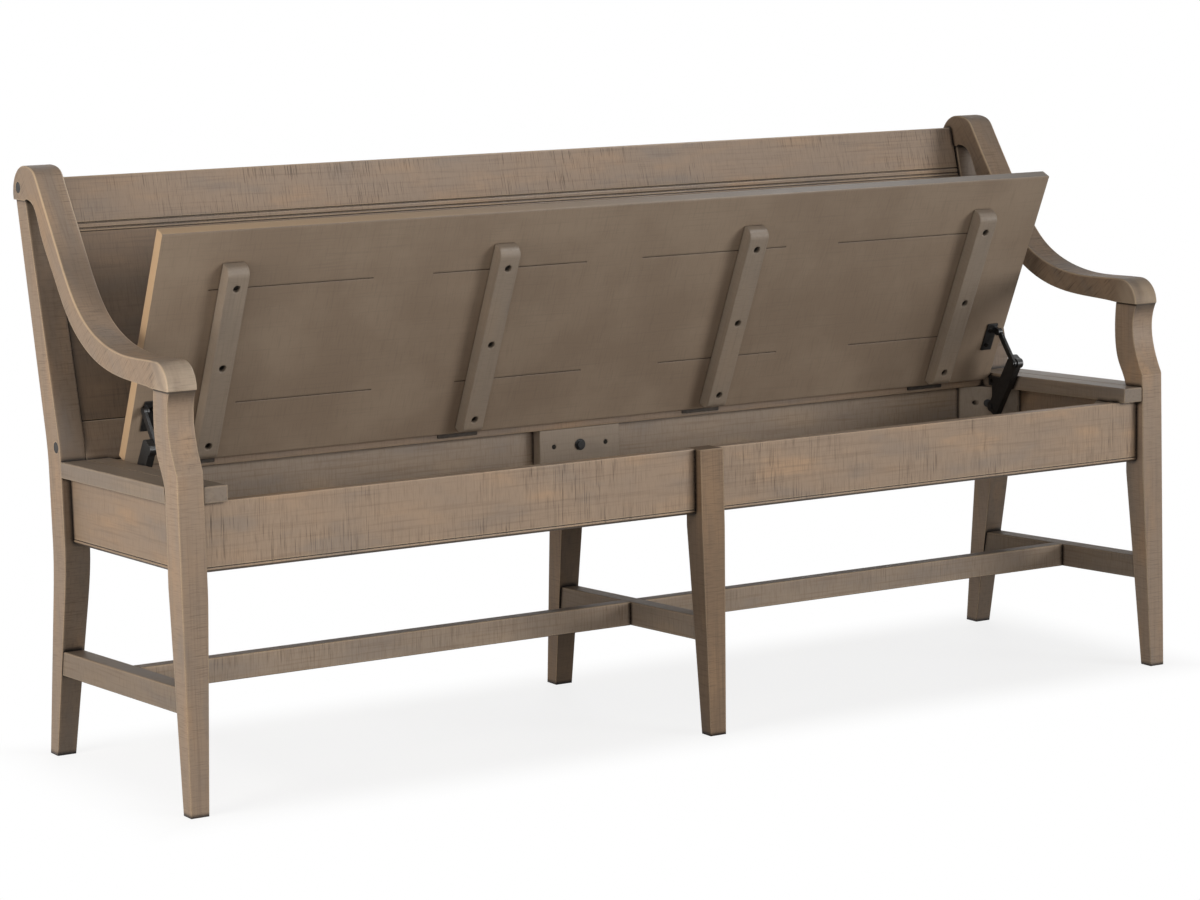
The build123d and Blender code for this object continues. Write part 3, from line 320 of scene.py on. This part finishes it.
# for each kind of board, by the first words of its node's name: grain, amount of saw marks, and depth of
# stain, which also paints light and shade, as one number or as low and high on the board; where a board has
# them, the depth on its front faces (painted shade on some, painted light on the box's back wall), the
# heights between which the stain changes, gloss, the way its rolled sides look (wear and a painted
# highlight), length of its rubbed end (hand wear and a painted highlight), painted shade on its upper faces,
# and how far below its top the glazed seam lies
endways, upright = (0, 1, -0.02), (0, 0.02, 1)
backLean = radians(14.6)
upTheBack = (0, sin(backLean), cos(backLean))
arm = dict(grain=(0, 0.62, 0.78), ticks=0.55, rolledWearAndHighlight=across, handRubAndHighlight=0.06)
boards = {
    "front_apron": dict(grain=across, ticks=0.78, stainAndLight=1.33),
    # inner face of the box's back wall lighter: painted light against the shade in the box
    "back_apron": dict(grain=across, ticks=0.1, stainAndLight=1.05, front=1.4),
    "side_apron": dict(grain=endways, ticks=0.35, stainAndLight=1.06),
    # posts and legs: painted shade near the floor, on the fronts of the back posts and rear leg, and on the
    # sides of the front centre leg
    "front_post": dict(grain=upright, ticks=0.35, stainAndLight=(1.1, 1.2), front=(1.05, 1.2), seam=0.003),
    "centre_front_leg": dict(grain=upright, ticks=0.3, stainAndLight=(0.5, 0.68), front=(0.86, 1.0), gloss=0.1),
    "centre_back_leg": dict(grain=upright, ticks=0.2, stainAndLight=(0.98, 1.05), front=(0.23, 0.17), gloss=0.12),
    "back_post": dict(grain=(0, 0.12, 1), ticks=0.35, stainAndLight=(1.1, 1.15), front=(0.42, 0.6)),
    # right arm: deeper stain and darker upper faces than the left, painted shade
    "arm_right": dict(arm, stainAndLight=0.98, gloss=0.08, above=0.2),
    "arm_left": dict(arm, stainAndLight=1.11),
    "seat_end": dict(grain=endways, ticks=0.15, stainAndLight=0.92),
    "rear_seat": dict(grain=across, ticks=0.15, stainAndLight=1.0),
    "end_stretcher": dict(grain=endways, ticks=0.25, stainAndLight=1.01, gloss=0.04, above=0.4),
    "centre_stretcher": dict(grain=endways, ticks=0.25, stainAndLight=1.0, gloss=0.04, above=0.4),
    "long_stretcher": dict(grain=across, ticks=0.5, stainAndLight=1.32, gloss=0.04, above=0.6),
    "back_top_rail": dict(grain=across, ticks=0.65, stainAndLight=1.14, rolledWearAndHighlight=upTheBack),
    # panel front darker lower down: painted shade
    "back_panel": dict(grain=across, ticks=0.2, stainAndLight=1.0, front=(0.46, 0.8), fade=(0.68, 0.88)),
    "back_bottom_rail": dict(grain=across, ticks=0.2, stainAndLight=1.0, front=0.7),
}
hidden = dict(grain=across, ticks=0.1, stainAndLight=1.5)      # plain blocks, cleats and floor of the box, stain lightened: painted light against the box's shade
brownLook = dict(woodLook, base=stain(151, 126, 102), cool=stain(139, 120, 102))
greyLook = dict(woodLook, base=stain(145, 130, 115), warm=stain(157, 138, 118), cool=stain(134, 123, 113))
browner = ("centre_front_leg", "centre_back_leg", "back_panel")
greyer = ("long_stretcher", "centre_stretcher", "end_stretcher", "back_apron", "seat_end")
lookOf = {**{kind: brownLook for kind in browner}, **{kind: greyLook for kind in greyer}}
woodSlots = ("frame_wood", "arm_wood", "inner_wood")
slotOf = {entry["node"]: entry["material_slot"] for entry in frame["record"]["subparts"]}
woodCount = 0
for seed, node in enumerate(sorted(nodes)):
    if slotOf[node] not in woodSlots:
        continue
    kind = next((start for start in boards if node.startswith(start)), None)
    look = lookOf.get(kind, woodLook) if kind else plainLook
    dress(node, stainedWood(node, boards.get(kind, hidden), look, seed))
    woodCount += 1
print("stained boards:", woodCount)

lidLook = {
    "paint": stain(154, 136, 117),     # plain coat on the underside
    "paintDark": stain(142, 124, 106),
    "bareLitEnd": stain(198, 166, 130),      # rubbed edges, paler at the left end: painted light
    "dull": stain(109, 99, 88),        # darker edge colour toward the right end: painted shade
    "ends": (-0.85, 0.45),             # where along the bench the one turns into the other
    "rubbedAmount": 0.9,
    "rubbedOpen": (0.45, 0.2),         # edges stay stained where they are closed in
    "ticks": 0.3,
    "topPaintedLight": 1.5,                   # the stain on the seat's upper face lightened this much: painted light
    "edgeFrom": 0.35,                  # how square a face stands to the underside before it counts as an edge
    "edgeTo": 0.7,
    "clouds": (7.0, 4.0, 0.6),         # scale, detail and roughness of the clouds in the coat
    "cloudy": (0.35, 0.7),
    "grainCells": (10, 400),           # noise cells per metre along and across the lid
    "weaveCells": (500, 25),
    "threads": (0.5, 0.75, 0.2),       # where the grain and the weave start and fill, and their amount
    "threadRelief": 0.12,
    "joints": (0.42, 0.65),            # how closed in a spot is where the glaze and painted shade start and fill
    "sheen": 0.44,
    "sheenVaries": 0.14,
    "gloss": 0.2,
}
lidTilt = radians(65.38)               # lid above the floor's plane in the open pose
underside = (0, -sin(lidTilt), -cos(lidTilt))


def lidWood(name, seed):
    # stained top lightened as painted light, rubbed edges painted paler at the left end and darker at the
    # right, plain coat underneath
    material, tone = newMaterial(name)
    place, colour, patches, height = woodTones(tone, across, woodLook, seed, lidLook["ticks"])
    closed = closedIn(tone, woodLook)
    # painted light on the seat's upper face
    colour = colour.scaled(lidLook["topPaintedLight"])
    below = facing(tone, underside)
    # edge colour from pale at the left end to dark at the right: painted light and shade
    edgeLitToShaded = tone.mix(place.dot(across).ease(*lidLook["ends"]), lidLook["bareLitEnd"], lidLook["dull"])
    rubbed = abs(below).ease(lidLook["edgeTo"], lidLook["edgeFrom"])
    rubbed = rubbed * closed.ease(*lidLook["rubbedOpen"]) * lidLook["rubbedAmount"]
    colour = tone.mix(rubbed, colour, edgeLitToShaded)

    def crossed(kind):
        runs, spreads = lidLook[kind]
        x, y, z = (place.dot(axis) for axis in (across, backward, upward))
        return tone.noise(tone.vector(x * runs, y * spreads, z * spreads))

    cloudy = tone.noise(place, *lidLook["clouds"])
    weave, lines = crossed("weaveCells"), crossed("grainCells")
    start, full, amount = lidLook["threads"]
    coat = tone.mix(cloudy.ease(*lidLook["cloudy"]), lidLook["paintDark"], lidLook["paint"])
    coat = tone.mix(weave.ease(start, full) * amount, coat, plainLook["tick"])
    coat = tone.mix(lines.ease(start, full) * amount, coat, plainLook["grain"])
    coated = below.ease(lidLook["edgeFrom"], lidLook["edgeTo"])
    colour, soft = wornEdges(tone, colour, woodLook, patches, closed)
    colour = tone.mix(coated, colour, coat)
    # glaze and painted shade in the joints and kerfs
    colour = tone.mix(closed.ease(*lidLook["joints"]), colour, woodLook["shadeAndGlazeColour"])
    relief = height * (1 - coated) + (weave + lines) * (coated * lidLook["threadRelief"])
    finishShader(tone, {
        "Base Color": colour, "Roughness": lidLook["sheen"] + cloudy * lidLook["sheenVaries"],
        "Specular IOR Level": lidLook["gloss"], "Normal": bumped(tone, relief, soft, woodLook["relief"]),
    })
    return material


dress("lid_panel", lidWood("lid_panel_coat", seed=5))
batten = dict(grain=(0, -cos(lidTilt), sin(lidTilt)), ticks=0.1, stainAndLight=1.24)
for seed, node in enumerate(("lid_batten_1", "lid_batten_2", "lid_batten_3", "lid_batten_4"), start=61):
    dress(node, stainedWood(node, batten, plainLook, seed))
print("lid and battens coated")

metalLook = {
    "mottle": (140.0, 3.0),            # scale and detail of the mottle
    "tint": (0.3, 0.7),                # where on the mottle the dull colour starts and fills
    "edge": 0.0008,
    "relief": (0.2, 0.0002),
    "sheenVaries": 0.15,
}


def metal(name, colour, dull, sheen, metallic):
    # cast or rolled metal, with a slight mottle in its colour and sheen
    material, tone = newMaterial(name)
    mottle = tone.noise(tone.place(), *metalLook["mottle"])
    soft = softened(tone, metalLook["edge"])
    finishShader(tone, {
        "Base Color": tone.mix(mottle.ease(*metalLook["tint"]), colour, dull),
        "Roughness": sheen + mottle * metalLook["sheenVaries"], "Metallic": metallic,
        "Normal": bumped(tone, mottle, soft, metalLook["relief"]),
    })
    return material


metals = {
    "black_metal": metal("black_metal_coat", stain(24, 24, 24), stain(38, 37, 36), sheen=0.28, metallic=0.0),
    # screws darker than zinc, partly as painted shade at the bottom of their counterbores
    "screw_steel": metal("screw_zinc", stain(48, 45, 41), stain(30, 28, 25), sheen=0.35, metallic=0.9),
    # hinge coloured dark brown for the shade under the lid: painted shade
    "hinge_steel": metal("hinge_dark_in_shade", stain(58, 50, 42), stain(44, 38, 32), sheen=0.45, metallic=0.6),
    "cap_plastic": metal("cap_dark", stain(44, 39, 35), stain(33, 29, 26), sheen=0.5, metallic=0.0),
}
for node, slot in slotOf.items():
    if slot in metals:
        dress(node, metals[slot])
print("metal dressed")


def lookedAt(tone):
    # 1 for rays from the camera, also by way of gloss or glass
    rays = [tone.node("ShaderNodeLightPath", None, None, out=way) for way in
            ("Is Camera Ray", "Is Glossy Ray", "Is Transmission Ray")]
    return tone.math("MINIMUM", rays[0] + rays[1] + rays[2], 1.0)


floorLook = {
    "half": 30.0, "steps": 8,          # half the width of the sheet, and its cells along a side
    "bounce": 0.62,                    # grey that lights the bench from below
    "bright": 1.3,                     # and the white under the shadow
    "shade": 0.19,                     # share of the real shadow that the camera sees
    "middle": (0.0, -0.03), "reach": (0.95, 0.25), "fade": (-0.06, 0.14),     # the oblong that keeps it
}


def floorSheet(half, steps):
    # flat square sheet: a grid of steps by steps cells over -half..half in X and Y, at height 0
    line = np.linspace(-half, half, steps + 1)
    gridX, gridY = np.meshgrid(line, line)
    points = np.stack([gridX.ravel(), gridY.ravel(), np.zeros(gridX.size)], axis=1)
    corner = (np.arange(steps)[:, None] * (steps + 1) + np.arange(steps)[None, :]).ravel()
    faces = np.stack([corner, corner + 1, corner + steps + 2, corner + steps + 1], axis=1)
    mesh = bpy.data.meshes.new("floor_sheet")
    mesh.from_pydata(points.tolist(), [], faces.tolist())
    sheet = bpy.data.objects.new("floor_sheet", mesh)
    scene.collection.objects.link(sheet)
    return sheet


def floorPaper():
    # white paper: seen by the camera it glows at 1, and under the bench it keeps part of the shadow
    material, tone = newMaterial("floor_paper")
    place = tone.place()
    sides = zip((across, backward), floorLook["middle"], floorLook["reach"])
    alongX, alongY = (abs(place.dot(axis) - middle) - reach for axis, middle, reach in sides)
    near, far = floorLook["fade"]
    kept = alongX.atLeast(alongY).ease(far, near) * floorLook["shade"]
    paper = tone.node("ShaderNodeBsdfDiffuse", None, {"Color": (*[floorLook["bounce"]] * 3, 1)})
    bright = tone.node("ShaderNodeBsdfDiffuse", None, {"Color": (*[floorLook["bright"]] * 3, 1)})
    glow = tone.node("ShaderNodeEmission", None, {"Color": (1, 1, 1, 1), "Strength": 1.0})
    seen = tone.node("ShaderNodeMixShader", None, {0: kept, 1: glow, 2: bright})
    shader = tone.node("ShaderNodeMixShader", None, {0: lookedAt(tone), 1: paper, 2: seen})
    tone.node("ShaderNodeOutputMaterial", None, {"Surface": shader})
    return material


floor = floorSheet(floorLook["half"], floorLook["steps"])
floor.data.materials.append(floorPaper())

studio = {
    "sky": 0.08,
    "key": {"from": (0.72, -1.0, 0.15), "power": 1.5, "soft": 26},       # front right, low
    "fill": {"from": (-0.6, -1.0, 0.15), "power": 0.6, "soft": 26},      # front left, weaker
    "back": {"from": (0.6, 1.0, 0.12), "power": 2.0, "soft": 30},        # for the sides the photo view hides
    "side": {"at": (-2.75, -0.45, 0.9), "aim": (-0.95, -0.05, 0.5), "power": 28.0, "size": 1.3,
             "colour": (1.0, 0.96, 0.91)},
    "end": {"at": (2.5, -2.4, 0.9), "aim": (0.9, 0.0, 0.6), "power": 4.0, "size": 1.2,
            "colour": (1.0, 1.0, 1.0)},
    "strip": {"at": (1.1, -0.5, 2.4), "aim": (0.2, -0.3, 0.6), "power": 62.0, "size": (2.6, 0.35)},
}


def studioSky():
    # even sky for the light, white wherever it is looked at
    world = bpy.data.worlds.new("studio")
    scene.world = world
    world.use_nodes = True
    world.node_tree.nodes.clear()
    tone = Tone(world.node_tree)
    level = studio["sky"] + lookedAt(tone) * (1 - studio["sky"])
    back = tone.node("ShaderNodeBackground", None, {"Color": (1, 1, 1, 1), "Strength": level})
    tone.node("ShaderNodeOutputWorld", None, {"Surface": back})


def hangLamp(name, light, place, aim):
    holder = bpy.data.objects.new(name, light)
    scene.collection.objects.link(holder)
    holder.location = place
    holder.rotation_euler = (Vector(place) - Vector(aim)).to_track_quat("Z", "Y").to_euler()
    return holder


def broadLamp(name):
    # soft light from far away, the same all along the bench
    lamp = studio[name]
    light = bpy.data.lights.new(name, "SUN")
    light.energy = lamp["power"]
    light.angle = radians(lamp["soft"])
    return hangLamp(name, light, lamp["from"], (0, 0, 0))


def panelLamp(name):
    # square panel close to one end, which brightens that end alone
    panel = studio[name]
    light = bpy.data.lights.new(name, "AREA")
    light.energy = panel["power"]
    light.size = panel["size"]
    light.color = panel["colour"]
    hangLamp(name, light, panel["at"], panel["aim"])


def stripLamp():
    # overhead strip that only shows as sheen on rolled tops
    strip = studio["strip"]
    light = bpy.data.lights.new("strip", "AREA")
    light.shape = "RECTANGLE"
    light.energy = strip["power"]
    light.size, light.size_y = strip["size"]
    hangLamp("strip", light, strip["at"], strip["aim"]).visible_diffuse = False


studioSky()
broadLamp("key")
broadLamp("fill")
broadLamp("back").visible_glossy = False      # no sheen from behind on the tops
panelLamp("side")
panelLamp("end")
stripLamp()
print("floor and light set")

view = {
    "place": (-3.1859, -5.0837, 1.3417),
    "yaw": 31.767,                     # degrees right of +Y
    "pitch": -8.563,
    "roll": -0.869,
    "lens": 107.64,
    "sensor": 36.0,
    "farthest": 200,
}


def aimCamera():
    yaw, pitch, roll = (radians(view[key]) for key in ("yaw", "pitch", "roll"))
    ahead = Vector((sin(yaw) * cos(pitch), cos(yaw) * cos(pitch), sin(pitch)))
    level = Vector((cos(yaw), -sin(yaw), 0))
    square = level.cross(ahead)
    right = level * cos(roll) + square * sin(roll)
    up = square * cos(roll) - level * sin(roll)
    data = bpy.data.cameras.new("photo_view")
    data.lens = view["lens"]
    data.sensor_width = view["sensor"]
    data.clip_end = view["farthest"]
    camera = bpy.data.objects.new("photo_view", data)
    scene.collection.objects.link(camera)
    turn = Matrix((right, up, -ahead)).transposed().to_4x4()
    camera.matrix_world = Matrix.Translation(view["place"]) @ turn
    scene.camera = camera


aimCamera()
print("camera set")
